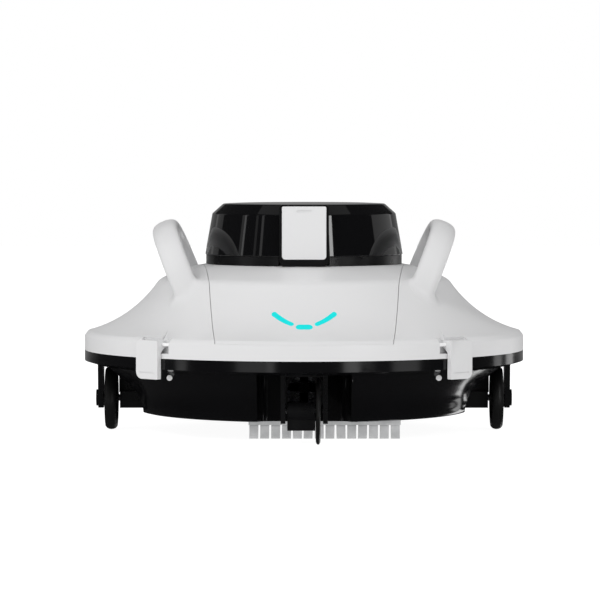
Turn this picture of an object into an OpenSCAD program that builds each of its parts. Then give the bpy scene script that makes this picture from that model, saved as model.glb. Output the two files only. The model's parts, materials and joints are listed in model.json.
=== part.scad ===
// Cordless disc-shaped pool cleaner, standing on its four wheels.
// Front is -Y, up is +Z, and the origin is on the floor under the centre.

/* [Body] */
// Radius of the flange and of the housing's upright band
body_r = 200; // [199:0.5:202]
// Wall of the moulded shells
wall = 3; // [2.5:0.1:3.2]
// Height of the joint between hull and housing
seam_z = 74; // [73.8:0.1:74.2]
// Gap between panels that lie flush with each other
panel_gap = 0.4; // [0.3:0.1:0.8]

/* [Handles] */
// Outward lean of each handle, in degrees
handle_lean = 22; // [19:1:24]
// Width of a handle's bar
handle_w = 23; // [18:1:24]
// Length of a handle's arch along the body
handle_len = 190; // [170:5:196]
// Thickness of a handle's bar
handle_t = 13.5; // [10:0.5:16]

/* [Running gear] */
// Radius of every wheel, and the height of every axle
wheel_r = 29; // [28:0.1:29.2]
// Windows in each wheel
spoke_gaps = 5; // [3:1:7]
// Distance of the side wheels from the middle
side_wheel_x = 176; // [175.6:0.1:176.4]
// Distance of the fork pivots from the middle
fork_s = 166; // [165.6:0.1:166.4]

/* [Brushes] */
// Fins in each brush strip
fins = 14; // [8:1:18]
// Height of the fins' tips over the floor
fin_tip_z = 1; // [0.5:0.5:4]

/* [Light] */
// Width of the status light's two side strokes
light_w = 3.5; // [2:0.5:4]
// Width of its middle stroke
light_mid_w = 5.4; // [3:0.2:6]

/* [Hidden] */
$fn = 96;
eps = 1;

white = [0.86, 0.86, 0.87];
black = [0.06, 0.06, 0.07];
grey = [0.55, 0.56, 0.58];
steel = [0.72, 0.73, 0.75];
clear_grey = [0.78, 0.79, 0.8];

// Hull: the outer line runs from the floor of the bowl up to the flange
floor_z = 17.5;
flange_z = 61.2;
hull_line = [[147, 17.5], [151, 19], [154, 24.5], [156, 32.4], [161.5, 40.5], [174, 52], [185, 61.2]];
neck_r = 176;
plate_r = 108;

// Wells in the hull for the side wheels and the forks
well_x = 145;
well_half = 50;
notch_s = 131;
notch_half = 41;
notch_z = 63.2;

// Deck: an upright band, a concave flare of one radius, and a shallow crown
band_z = 87.5;
flare_c = [226.2, 200.1];
flare_r = 113;
flare_from = 15;
flare_to = 57;
flare_steps = 12;
crown_r = 99;
crown_z = 150;
mouth_r = 80;
mouth_z = 153.3;

// Hood panels: half widths at the dome and at the band, in plan
hood_top = [91.2, 12];
hood_foot = [74.8, 206];
hood_low_z = 88.2;

// Dome
seat_z = 160;
seat_r = 89.3;
dome_foot = [91.4, 153.3];
dome_shoulder = [83.6, 197.5];
dome_edge = [73.8, 206.3];
dome_z = 207;
lid_gap = 0.3;
hinge_y = 95;
hinge_z = 161;
knuckle_r = 4;
hinge_pin_r = 2;

// Latch in the front of the dome
frame_half = 22;
frame_s = [77, 91];
latch_half = 19.65;
latch_z = [158, 205];
latch_pivot = [84.5, 201.5];
latch_pin_r = 1.5;

// Clips that hold the housing to the hull
clip_angle = 42;
clip_w = 26;
clip_z = [56, 89.8];
clip_pivot = [197, 86.2];
clip_barrel_r = 3.6;
clip_pin_r = 1.6;
pocket_r = 193;
pocket_side = 7.5;
pocket_z = 78.4;

// Parts of the running gear
axle_r = 3;
fork_axle_r = 2;
running = 0.05;
bracket_x = [183.2, 187.9];
bracket_low = 20;
web_x = 169;
fork_plate = [16.3, 20.4];
fork_top = [59.4, 62.6];
fork_low = 18.7;
stem_r = 6;
bush_r = 7;
thin_wheel_x = 12;
paddle_x = [-14.7, 9.6];
barrel_r = 8;

// Pumps, water ways and basket
jet_z = 43;
duct_r = 18;
duct_wall = 1.5;
motor_s = [14, 52];
riser_x = [24, 50];
riser_half = 15;
riser_wall = 1.5;
basket_r = 72;
basket_z = [63, 146];
flap_x = 23;
flap_z = 68.2;
flap_pin_r = 0.8;

// Brush strips
brush_s = 118;
brush_x = [-49, 85];
strip_z = 13;
fin_t = 2.5;
slit = 1.5;

// Power button and charging socket
button_y = 120;
button_z = 146.7;
socket_at = [-42, 112];
socket_z = [134, 147];
socket_r = 2.75;
cap_r = 9.6;

// Shapes

module block(lo, hi) {
  translate(lo) cube(hi - lo);
}

module tube(outer, inner, z0, z1) {
  difference() {
    translate([0, 0, z0]) cylinder(r = outer, h = z1 - z0);
    translate([0, 0, z0 - eps]) cylinder(r = inner, h = z1 - z0 + 2 * eps);
  }
}

// A rod along X through a point given as [y, z]
module rod_x(r, x0, x1, at) {
  translate([x0, at[0], at[1]]) rotate([0, 90, 0]) cylinder(r = r, h = x1 - x0);
}

// A rod along Y through a point given as [x, z]
module rod_y(r, y0, y1, at) {
  translate([at[0], y1, at[1]]) rotate([90, 0, 0]) cylinder(r = r, h = y1 - y0);
}

module both_ends() {
  children();
  rotate([0, 0, 180]) children();
}

module both_sides() {
  children();
  mirror([1, 0, 0]) children();
}

module rounded_block(lo, hi, r) {
  h = hi[2] - lo[2];
  block([lo[0] + r, lo[1], lo[2]], [hi[0] - r, hi[1], hi[2]]);
  block([lo[0], lo[1] + r, lo[2]], [hi[0], hi[1] - r, hi[2]]);
  for (x = [lo[0] + r, hi[0] - r], y = [lo[1] + r, hi[1] - r])
    translate([x, y, lo[2]]) cylinder(r = r, h = h);
}

function reversed(list) = [for (i = [len(list) - 1:-1:0]) list[i]];

// Hull

function inset_line(line, by) = [for (p = line) [p[0] - by, max(p[1], floor_z + by)]];

module wells(by) {
  both_sides()
    block([well_x - by, -well_half - by, 0], [body_r, well_half + by, flange_z + eps]);
  both_ends()
    block([-notch_half - by, -body_r, 0], [notch_half + by, -notch_s + by, notch_z + by]);
}

module hull_shell() {
  outer = concat([[0, floor_z]], hull_line, [[neck_r, flange_z], [neck_r, seam_z], [0, seam_z]]);
  inner = concat([[0, floor_z + wall]], inset_line(hull_line, wall),
    [[neck_r - wall, flange_z], [neck_r - wall, seam_z + eps], [0, seam_z + eps]]);
  color(black) difference() {
    rotate_extrude() polygon(outer);
    difference() {
      intersection() {
        rotate_extrude() polygon(inner);
        cylinder(r = neck_r - wall, h = 2 * seam_z);
      }
      wells(wall);
    }
    wells(0);
    translate([0, 0, floor_z - eps]) cylinder(r = plate_r, h = wall + 2 * eps);
    both_ends() brush_slot();
    both_ends() rod_y(duct_r - duct_wall, -notch_s - eps, -notch_s + wall + eps, [0, jet_z]);
    both_ends() translate([0, -fork_s, notch_z - eps]) cylinder(r = bush_r, h = wall + 2 * eps);
  }
}

module brush_slot() {
  block([brush_x[0], -brush_s - fin_t / 2, floor_z - eps],
    [brush_x[1], -brush_s + fin_t / 2, floor_z + wall + eps]);
}

module flange_ring() {
  line = [[neck_r, flange_z], [189, flange_z], [body_r, 64.5], [body_r, seam_z], [neck_r, seam_z]];
  color(black) difference() {
    rotate_extrude() polygon(line);
    both_ends() translate([0, -fork_s, flange_z - eps]) cylinder(r = 26, h = notch_z - flange_z + eps);
  }
}

module base_plate() {
  lip = 4.5;
  color(black) difference() {
    union() {
      translate([0, 0, floor_z]) cylinder(r = plate_r - 0.2, h = wall + eps);
      translate([0, 0, floor_z + wall]) cylinder(r = plate_r + lip, h = 2);
    }
    both_sides()
      block([riser_x[0] + riser_wall, -riser_half + riser_wall, 0],
        [riser_x[1] - riser_wall, riser_half - riser_wall, seam_z]);
    for (a = screw_angles)
      rotate([0, 0, a]) translate([screw_ring, 0, 0]) cylinder(r = screw_r + 0.05, h = seam_z);
  }
}

screw_angles = [0:60:300];
screw_ring = 98;
screw_r = 1.7;
screw_h = 6.5;

module base_screws() {
  color(steel) for (a = screw_angles) rotate([0, 0, a]) translate([screw_ring, 0, 0]) {
    translate([0, 0, floor_z - 1.5]) cylinder(r = 3.4, h = 1.5);
    translate([0, 0, floor_z - 1.5]) cylinder(r = screw_r, h = screw_h);
  }
}

module wheel_brackets() {
  low = bracket_low;
  plate = [[-13, flange_z], [-9, low + 3], [-6, low], [6, low], [9, low + 3], [13, flange_z]];
  color(black) both_sides() difference() {
    union() {
      translate([bracket_x[0], 0, 0]) rotate([90, 0, 90])
        linear_extrude(bracket_x[1] - bracket_x[0]) polygon(plate);
      rod_x(7.5, bracket_x[0], bracket_x[1] + 2, [0, wheel_r]);
    }
    rod_x(axle_r, bracket_x[0] - eps, bracket_x[1] + 1, [0, wheel_r]);
  }
}

// A block that carries the inner end of each side axle, with a web up to the flange
module axle_tubes() {
  color(black) both_sides() difference() {
    union() {
      block([well_x, -barrel_r, bracket_low], [side_wheel_x - 8, barrel_r, wheel_r + 6]);
      block([well_x, -2, wheel_r + 5], [web_x, 2, flange_z]);
    }
    rod_x(axle_r, well_x + 5, side_wheel_x, [0, wheel_r]);
  }
}

module wheel_axles() {
  color(steel) both_sides() rod_x(axle_r, well_x + 5, bracket_x[1] + 1, [0, wheel_r]);
}

module swivel_bushes() {
  color(grey) both_ends() translate([0, -fork_s, 0]) tube(bush_r, stem_r + running, notch_z, seam_z);
}

module brush() {
  pitch = (brush_x[1] - brush_x[0]) / fins;
  color(clear_grey) difference() {
    union() {
      block([brush_x[0], -brush_s - fin_t / 2, fin_tip_z],
        [brush_x[1], -brush_s + fin_t / 2, floor_z + wall]);
      block([brush_x[0], -brush_s - 3.5, floor_z + wall], [brush_x[1], -brush_s + 3.5, floor_z + wall + 1.2]);
    }
    for (i = [1:fins - 1])
      translate([brush_x[0] + i * pitch - slit / 2, -brush_s - fin_t, 0]) cube([slit, 2 * fin_t, strip_z]);
  }
}

module front_brush() {
  brush();
}

module rear_brush() {
  rotate([0, 0, 180]) brush();
}

module brush_clamps() {
  top = floor_z + wall;
  color(grey) both_ends() difference() {
    block([brush_x[0] - 6, -brush_s - 5, top], [brush_x[1] - 3, -brush_s + 5, top + 3]);
    block([brush_x[0], -brush_s - 3.5, top - eps], [brush_x[1] + eps, -brush_s + 3.5, top + 1.2]);
  }
}

// Water jets, pumps and power

module jet_duct() {
  far = notch_s - wall;
  color(grey) difference() {
    rod_y(duct_r, -far, -motor_s[1], [0, jet_z]);
    rod_y(duct_r - duct_wall, -far - eps, -motor_s[1] - 2.5, [0, jet_z]);
    rod_y(3, -far, -motor_s[1] + eps, [0, jet_z]);
    for (a = [0:60:300])
      translate([0, 0, jet_z]) rotate([0, a, 0]) translate([0, 0, -jet_z])
        rod_y(3.6, -motor_s[1] - 3, -motor_s[1] + eps, [10, jet_z]);
    for (a = [30:60:330])
      translate([0, -motor_s[1] - 6, jet_z]) rotate([0, a, 0]) translate([duct_r - 4, -2.5, -4])
        cube([8, 5, 8]);
  }
}

module jet_ducts() {
  both_ends() jet_duct();
}

module jet_nozzles() {
  bore = duct_r - duct_wall;
  color(black) both_ends() difference() {
    union() {
      rod_y(bore, -notch_s - 1.2, -notch_s + wall, [0, jet_z]);
      rod_y(bore + 2.5, -notch_s - 1.8, -notch_s, [0, jet_z]);
    }
    rod_y(bore - 1.6, -notch_s - 4, -notch_s + wall + eps, [0, jet_z]);
  }
}

module pump_motor() {
  color(steel) difference() {
    union() {
      rod_y(14, -motor_s[1], -motor_s[0], [0, jet_z]);
      rod_y(5, -motor_s[0], -motor_s[0] + 3, [0, jet_z]);
    }
    rod_y(2 + running, -motor_s[1] - eps, -motor_s[1] + 22, [0, jet_z]);
  }
}

module front_pump_motor() {
  pump_motor();
}

module rear_pump_motor() {
  rotate([0, 0, 180]) pump_motor();
}

module impeller() {
  blades = 4;
  color(black) {
    rod_y(2, -motor_s[1] - 14, -motor_s[1] + 20, [0, jet_z]);
    rod_y(5, -motor_s[1] - 20, -motor_s[1] - 9, [0, jet_z]);
    for (i = [0:blades - 1])
      translate([0, -motor_s[1] - 14.5, jet_z]) rotate([0, i * 360 / blades, 0])
        translate([4.5, 0, 0]) rotate([35, 0, 0]) translate([0, -5, -0.8]) cube([10.6, 10, 1.6]);
  }
}

module front_impeller() {
  impeller();
}

module rear_impeller() {
  rotate([0, 0, 180]) impeller();
}

module suction_risers() {
  z0 = floor_z + wall + 2;
  color(grey) both_sides() difference() {
    block([riser_x[0], -riser_half, z0], [riser_x[1], riser_half, basket_z[0]]);
    block([riser_x[0] + riser_wall, -riser_half + riser_wall, z0 - eps],
      [riser_x[1] - riser_wall, riser_half - riser_wall, basket_z[0] + eps]);
  }
}

module battery_pack() {
  color([0.2, 0.35, 0.5]) rounded_block([58, -38, 24], [126, 38, 54], 5);
}

module control_box() {
  color([0.2, 0.4, 0.25]) {
    rounded_block([-126, -36, 24], [-58, 36, 46], 4);
    rounded_block([-120, -30, 46], [-64, 30, 49], 4);
  }
}

module hull_gasket() {
  color(grey) tube(195.5, 191.5, seam_z, seam_z + 1.4);
}

module sensor_studs() {
  color(white) both_sides() difference() {
    rod_y(2.5, -139.5, -120, [117.7, 56.1]);
    rotate_extrude() polygon([for (p = concat([[0, floor_z]], hull_line, [[0, flange_z]])) p + [0.1, 0]]);
  }
}

// Housing

function deck_line(by) = concat(
  [[body_r - by, seam_z], [body_r - by, band_z - by / 3]],
  [for (i = [0:flare_steps]) let (a = flare_from + (flare_to - flare_from) * i / flare_steps)
    flare_c - (flare_r + by) * [sin(a), cos(a)]],
  [[crown_r - by / 6, crown_z - by], [mouth_r, mouth_z - by]]);

module deck_shell() {
  rotate_extrude() polygon(concat(deck_line(0), reversed(deck_line(wall))));
}

module deck_solid() {
  rotate_extrude() polygon(concat([[0, seam_z]], deck_line(0), [[0, mouth_z]]));
}

module hood_plan(by) {
  top = hood_top[0] + by;
  foot = hood_foot[0] + by;
  translate([0, 0, hood_low_z - by]) linear_extrude(seam_z)
    polygon([[-top, -hood_top[1] + by], [-foot, -hood_foot[1]], [foot, -hood_foot[1]],
      [top, -hood_top[1] + by]]);
}

// Pocket for one clip, turned to its place round the body
module clip_pocket(by) {
  side = clip_w / 2 + panel_gap + by;
  translate([-side, -body_r - 9, pocket_z - by])
    cube([2 * side + pocket_side, body_r + 9 - pocket_r + by, 40]);
}

// A narrow groove that runs down the deck into one side of a pocket
module clip_groove() {
  intersection() {
    linear_extrude(120) polygon([[-3.6, -171], [20.9, -200], [10, -196]]);
    translate([-3.6, -171, 101.7]) rotate([0, 29.3, -92.2]) block([-60, -60, 0], [60, 60, 60]);
  }
}

module each_clip() {
  rotate([0, 0, -clip_angle]) children();
  rotate([0, 0, clip_angle]) mirror([1, 0, 0]) children();
  rotate([0, 0, 180 - clip_angle]) children();
  rotate([0, 0, 180 + clip_angle]) mirror([1, 0, 0]) children();
}

module housing_shell() {
  color(white) difference() {
    union() {
      deck_shell();
      intersection() {
        deck_solid();
        each_clip() clip_pocket(wall);
      }
    }
    both_ends() hood_plan(panel_gap);
    each_clip() clip_pocket(0);
    each_clip() clip_groove();
    translate([0, 0, mouth_z - wall - eps]) cylinder(r = mouth_r, h = 2 * wall);
  }
}

// One stroke with round ends between two points in plan
module stroke(from, to, width) {
  along = to - from;
  translate(from) cylinder(r = width / 2, h = 60);
  translate(to) cylinder(r = width / 2, h = 60);
  translate(from) rotate([0, 0, atan2(along[1], along[0])])
    translate([0, -width / 2, 0]) cube([norm(along), width, 60]);
}

module light_strokes() {
  translate([0, 0, 80]) {
    stroke([-4, -170], [4, -170], light_mid_w);
    both_sides() {
      stroke([11.2, -165.8], [18.6, -160.2], light_w);
      stroke([18.6, -160.2], [26.2, -152.6], light_w);
    }
  }
}

module hood() {
  intersection() {
    deck_shell();
    hood_plan(0);
  }
}

module front_hood() {
  color(white) difference() {
    hood();
    light_strokes();
    block([-frame_half - 0.6, -frame_s[1] - 0.6, mouth_z - 1.1],
      [frame_half + 0.6, -frame_s[0], mouth_z + eps]);
  }
}

module light_guide() {
  color([0.05, 0.95, 0.95]) intersection() {
    hood();
    light_strokes();
  }
}

module rear_hood() {
  color(white) difference() {
    union() {
      rotate([0, 0, 180]) hood();
      translate([0, button_y, 0]) cylinder_from(9.5, 136, button_z - 1.5);
      translate(socket_at) cylinder_from(10.5, socket_z[0] + 2, socket_z[1]);
    }
    translate(socket_at) cylinder_from(7, socket_z[0] - 5, socket_z[1] + eps);
    translate([0, button_y, 0]) cylinder_from(7, 130, button_z + eps);
    translate([0, button_y, 0]) cylinder_from(8.6, 130, button_z - 7.5);
  }
}

module cylinder_from(r, z0, z1) {
  translate([0, 0, z0]) cylinder(r = r, h = z1 - z0);
}

module power_button() {
  color(grey) translate([0, button_y, 0]) {
    cylinder_from(6.9, button_z - 8.6, button_z);
    cylinder_from(8.3, button_z - 10, button_z - 8.6);
  }
}

module button_spring() {
  color(steel) translate([0, button_y, 0]) tube(4.5, 3.5, 130, button_z - 10);
}

// The button's switch on its board, and the board with the status light's diodes
module circuit_boards() {
  color([0.2, 0.4, 0.25]) {
    translate([0, button_y, 0]) {
      block([-12, -9, 126], [12, 9, 130]);
      cylinder_from(2.4, 130, button_z - 12);
    }
    translate([0, -162, 100]) rotate([34.6, 0, 0]) block([-32, -13, -0.8], [32, 13, 0.8]);
  }
}

module handle(side) {
  steps = 40;
  power = 2.6;
  outer = [handle_len / 2, 66];
  inner = outer - [handle_t + 2, handle_t];
  arch = function(size) [for (i = [0:steps]) let (a = 180 * i / steps, c = cos(a), s = sin(a))
    [sign(c) * size[0] * pow(abs(c), 2 / power), size[1] * pow(s, 2 / power)]];
  foot = 40;
  color(white) difference() {
    translate([side * 104, 0, 129]) rotate([0, side * handle_lean, 0])
      translate([-handle_w / 2, 0, 0]) rotate([90, 0, 90]) linear_extrude(handle_w) difference() {
        polygon(concat([[outer[0], -foot]], arch(outer), [[-outer[0], -foot]]));
        polygon(concat([[inner[0], -foot - eps]], arch(inner), [[-inner[0], -foot - eps]]));
      }
    deck_solid();
  }
}

module left_handle() {
  handle(-1);
}

module right_handle() {
  handle(1);
}

module clip_pins() {
  reach = clip_w / 2 + panel_gap;
  color(white) each_clip()
    rod_x(clip_pin_r, -reach - 2.5, reach + pocket_side + 1.5, [-clip_pivot[0], clip_pivot[1]]);
}

module clip() {
  half = clip_w / 2;
  front = body_r + 4.8;
  back = body_r + 0.4;
  corner = 7;
  color(white) difference() {
    union() {
      block([-half + corner, -front, clip_z[0]], [half, -back, clip_z[1]]);
      block([-half, -front, clip_z[0] + corner], [half, -back, clip_z[1]]);
      rod_y(corner, -front, -back, [-half + corner, clip_z[0] + corner]);
      block([-half, -front, clip_pivot[1] - clip_barrel_r], [half, -clip_pivot[0], clip_z[1]]);
      rod_x(clip_barrel_r, -half, half, [-clip_pivot[0], clip_pivot[1]]);
    }
    rod_x(clip_pin_r + running, -half - eps, half + eps, [-clip_pivot[0], clip_pivot[1]]);
  }
}

module front_left_clip() {
  rotate([0, 0, -clip_angle]) clip();
}

module front_right_clip() {
  rotate([0, 0, clip_angle]) mirror([1, 0, 0]) clip();
}

module rear_right_clip() {
  rotate([0, 0, 180 - clip_angle]) clip();
}

module rear_left_clip() {
  rotate([0, 0, 180 + clip_angle]) mirror([1, 0, 0]) clip();
}

module charge_socket() {
  color(black) translate(socket_at) difference() {
    cylinder_from(7, socket_z[0], socket_z[1]);
    cylinder_from(socket_r, socket_z[0] + 2, socket_z[1] + eps);
  }
}

module charge_cap() {
  low = socket_z[1] + 0.3;
  color(grey) translate(socket_at) {
    cylinder_from(cap_r, low, low + 2.2);
    block([-5, 0, low], [5, cap_r + 1.2, low + 2.2]);
    rod_x(1.1, -5, 5, [cap_r + 1.2, low + 1.1]);
  }
}

// Dome

function dome_at(z) = dome_foot[0]
  + (dome_shoulder[0] - dome_foot[0]) * (z - dome_foot[1]) / (dome_shoulder[1] - dome_foot[1]);

module latch_box(by) {
  block([-frame_half - by, -frame_s[1] - 4, mouth_z - 2], [frame_half + by, -frame_s[0] + by, dome_z + eps]);
}

module lid_seat() {
  line = [[mouth_r, mouth_z], [seat_r, mouth_z - 1.5], [seat_r, seat_z], [mouth_r, seat_z]];
  color(black) difference() {
    union() {
      rotate_extrude() polygon(line);
      both_sides() block([14, 82, mouth_z], [24, hinge_y + knuckle_r, seat_z]);
      both_sides() block([14, hinge_y - knuckle_r, seat_z - eps], [24, hinge_y + knuckle_r, hinge_z]);
      both_sides() rod_x(knuckle_r, 14, 24, [hinge_y, hinge_z]);
    }
    latch_box(0.6);
    rod_x(hinge_pin_r, -26, 26, [hinge_y, hinge_z]);
  }
}

module lid_hinge_pin() {
  color(steel) rod_x(hinge_pin_r, -24, 24, [hinge_y, hinge_z]);
}

module dome_lid() {
  low = seat_z + lid_gap;
  outer = [[0, dome_z], [0, low], [dome_at(low), low], dome_shoulder, dome_edge, [60, dome_z]];
  inner = [[0, dome_z - wall], [0, low - eps], [dome_at(low) - wall, low - eps],
    dome_shoulder - [wall, 1.2], dome_edge - [1.4, wall], [60, dome_z - wall]];
  color(black) difference() {
    union() {
      difference() {
        rotate_extrude() polygon(outer);
        rotate_extrude() polygon(inner);
      }
      rod_x(knuckle_r, -13.6, 13.6, [hinge_y, hinge_z]);
      block([-13.6, 87.2, low + 0.3], [13.6, hinge_y, hinge_z + knuckle_r - 0.5]);
    }
    rod_x(hinge_pin_r + running, -20, 20, [hinge_y, hinge_z]);
    latch_box(0);
  }
}

module lid_gasket() {
  color(grey) difference() {
    tube(dome_at(seat_z) - wall - 0.6, mouth_r + 0.5, seat_z + lid_gap, seat_z + lid_gap + 2);
    latch_box(0.2);
  }
}

module latch_frame() {
  half = latch_half + 0.3;
  color(black) difference() {
    block([-frame_half, -frame_s[1], mouth_z - 0.8], [frame_half, -frame_s[0], dome_z - 0.5]);
    block([-half, -frame_s[1] - eps, latch_z[0] - 0.6], [half, -frame_s[0] - 3.5, dome_z]);
    rod_x(latch_pin_r, -frame_half - eps, frame_half + eps, [-latch_pivot[0], latch_pivot[1]]);
  }
}

module latch_pin() {
  color(steel) rod_x(latch_pin_r, -frame_half, frame_half, [-latch_pivot[0], latch_pivot[1]]);
}

module lid_latch() {
  front = 90.7;
  back = 87;
  color(white) difference() {
    union() {
      block([-latch_half, -front, latch_z[0]], [latch_half, -back, latch_z[1]]);
      rod_x(2.8, -18, 18, [-latch_pivot[0], latch_pivot[1]]);
      block([-18, -back - eps, latch_pivot[1] - 2.8], [18, -latch_pivot[0], latch_pivot[1] + 2.8]);
      block([-7, -back - eps, latch_z[0] + 3], [7, -82, latch_z[0] + 8]);
    }
    rod_x(latch_pin_r + running, -30, 30, [-latch_pivot[0], latch_pivot[1]]);
  }
}

// Filter basket and inlet flaps

module filter_basket() {
  ribs = 12;
  color(grey) difference() {
    union() {
      tube(basket_r + 3, basket_r - 2, basket_z[1] - 5, basket_z[1]);
      translate([0, 0, basket_z[0]]) cylinder(r = basket_r, h = 3);
      for (i = [0:ribs - 1]) rotate([0, 0, (i + 0.5) * 360 / ribs])
        block([basket_r - 2, -2, basket_z[0] + 2], [basket_r, 2, basket_z[1] - 4]);
      both_sides() both_ends_y() block([flap_x - 2.5, riser_half + 1.4, basket_z[0] + 2],
        [flap_x + 2.5, riser_half + 4, flap_z + 2]);
    }
    both_sides()
      block([riser_x[0] + riser_wall, -riser_half + riser_wall, 0],
        [riser_x[1] - riser_wall, riser_half - riser_wall, flap_z]);
    both_sides() rod_y(flap_pin_r, -riser_half - 5, riser_half + 5, [flap_x, flap_z]);
  }
}

module both_ends_y() {
  children();
  mirror([0, 1, 0]) children();
}

module filter_mesh() {
  color(clear_grey) tube(basket_r - 2, basket_r - 3.2, basket_z[0] + 3, basket_z[1]);
}

module flap_pins() {
  color(steel) both_sides() rod_y(flap_pin_r, -riser_half - 4, riser_half + 4, [flap_x, flap_z]);
}

module inlet_flap() {
  half = riser_half + 0.8;
  color(black) difference() {
    union() {
      block([flap_x, -half, flap_z - 1.8], [riser_x[1] + 1.5, half, flap_z - 0.2]);
      rod_y(1.8, -half, half, [flap_x, flap_z]);
    }
    rod_y(flap_pin_r + running, -half - eps, half + eps, [flap_x, flap_z]);
  }
}

module right_inlet_flap() {
  inlet_flap();
}

module left_inlet_flap() {
  mirror([1, 0, 0]) inlet_flap();
}

// Wheels and forks

// A spoked wheel round the X axis, from its half width and its hub's span
module spoked_wheel(half, hub_r, hub, bore) {
  tread = [[wheel_r - 7, -half * 0.75], [wheel_r - 3, -half], [wheel_r - 0.9, -half * 0.6], [wheel_r, 0],
    [wheel_r - 0.9, half * 0.6], [wheel_r - 3, half], [wheel_r - 7, half * 0.75]];
  web = half * 0.8;
  rotate([0, 90, 0]) difference() {
    union() {
      rotate_extrude() polygon(tread);
      translate([0, 0, -web / 2]) cylinder(r = wheel_r - 6.5, h = web);
      cylinder_from(hub_r, hub[0], hub[1]);
    }
    for (i = [0:spoke_gaps - 1]) rotate([0, 0, i * 360 / spoke_gaps])
      translate([(hub_r + wheel_r - 7) / 2 + 0.6, 0, -web]) cylinder(r = 5.4, h = 2 * web);
    cylinder_from(bore, hub[0] - eps, hub[1] + eps);
  }
}

module side_wheel(side) {
  color(black) translate([side * side_wheel_x, 0, wheel_r])
    spoked_wheel(5.25, 5.5, [-6.5, 6.5], axle_r + running);
}

module left_wheel() {
  side_wheel(-1);
}

module right_wheel() {
  side_wheel(1);
}

module thin_wheel() {
  color(black) translate([thin_wheel_x, -fork_s, wheel_r])
    spoked_wheel(2, 4.6, [-2.1, 3.9], fork_axle_r + running);
}

module front_wheel() {
  thin_wheel();
}

module rear_wheel() {
  rotate([0, 0, 180]) thin_wheel();
}

module fork() {
  color(black) translate([0, -fork_s, 0]) difference() {
    union() {
      block([-fork_plate[1], -12, fork_top[0]], [fork_plate[1], 12, fork_top[1]]);
      both_sides() block([fork_plate[0], -9, fork_low], [fork_plate[1], 9, fork_top[0] + eps]);
      cylinder_from(stem_r, fork_top[0], seam_z + 1);
      cylinder_from(stem_r + 2, seam_z + 0.3, seam_z + 2.5);
    }
    rod_x(fork_axle_r, -30, 30, [0, wheel_r]);
  }
}

module front_fork() {
  fork();
}

module rear_fork() {
  rotate([0, 0, 180]) fork();
}

module fork_axle() {
  color(steel) rod_x(fork_axle_r, -fork_plate[1], fork_plate[1], [-fork_s, wheel_r]);
}

module front_wheel_axle() {
  fork_axle();
}

module rear_wheel_axle() {
  rotate([0, 0, 180]) fork_axle();
}

module paddle() {
  color(black) difference() {
    union() {
      rod_x(barrel_r, paddle_x[0], paddle_x[1], [-fork_s, wheel_r]);
      block([paddle_x[0], -fork_s - 4, 12.3], [paddle_x[1], -fork_s + 4, wheel_r]);
    }
    rod_x(fork_axle_r + running, paddle_x[0] - eps, paddle_x[1] + eps, [-fork_s, wheel_r]);
  }
}

module front_paddle() {
  paddle();
}

module rear_paddle() {
  rotate([0, 0, 180]) paddle();
}

hull_shell();
flange_ring();
base_plate();
wheel_brackets();
axle_tubes();
wheel_axles();
swivel_bushes();
front_brush();
rear_brush();
brush_clamps();
jet_ducts();
jet_nozzles();
front_pump_motor();
rear_pump_motor();
suction_risers();
battery_pack();
control_box();
hull_gasket();
sensor_studs();
base_screws();
housing_shell();
front_hood();
rear_hood();
left_handle();
right_handle();
light_guide();
circuit_boards();
lid_seat();
lid_hinge_pin();
clip_pins();
charge_socket();
button_spring();
dome_lid();
latch_frame();
latch_pin();
lid_gasket();
lid_latch();
front_left_clip();
front_right_clip();
rear_left_clip();
rear_right_clip();
power_button();
charge_cap();
filter_basket();
filter_mesh();
flap_pins();
left_inlet_flap();
right_inlet_flap();
left_wheel();
right_wheel();
front_wheel();
rear_wheel();
front_fork();
rear_fork();
front_wheel_axle();
rear_wheel_axle();
front_paddle();
rear_paddle();
front_impeller();
rear_impeller();
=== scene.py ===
"""The looks of a disc-shaped pool cleaner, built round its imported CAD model.

Lengths are in millimetres in this script and become metres where a mesh is made.
"""
import json
import math
import random

import bmesh
import bpy
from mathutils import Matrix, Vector

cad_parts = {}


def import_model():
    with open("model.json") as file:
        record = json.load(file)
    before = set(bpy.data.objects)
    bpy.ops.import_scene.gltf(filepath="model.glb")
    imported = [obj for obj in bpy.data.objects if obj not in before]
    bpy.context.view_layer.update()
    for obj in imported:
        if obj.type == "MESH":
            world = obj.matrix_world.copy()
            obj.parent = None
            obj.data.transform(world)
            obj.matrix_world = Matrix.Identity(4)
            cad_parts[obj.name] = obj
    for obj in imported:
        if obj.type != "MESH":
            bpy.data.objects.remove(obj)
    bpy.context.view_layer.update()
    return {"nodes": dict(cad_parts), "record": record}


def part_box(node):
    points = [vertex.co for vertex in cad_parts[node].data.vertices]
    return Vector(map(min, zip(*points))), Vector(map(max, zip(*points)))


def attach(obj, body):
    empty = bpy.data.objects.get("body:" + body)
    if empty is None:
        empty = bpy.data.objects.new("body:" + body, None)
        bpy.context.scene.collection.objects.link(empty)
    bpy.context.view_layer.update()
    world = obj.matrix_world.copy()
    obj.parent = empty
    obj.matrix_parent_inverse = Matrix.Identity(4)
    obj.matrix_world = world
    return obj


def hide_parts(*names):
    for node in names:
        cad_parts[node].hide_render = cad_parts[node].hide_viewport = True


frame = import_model()

MM = 0.001
random.seed(7)


# ---------------------------------------------------------------- sizes read from the frame

def span(node):
    """The lowest and highest corners of a CAD node, in millimetres."""
    low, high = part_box(node)
    return [v / MM for v in low], [v / MM for v in high]


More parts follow.
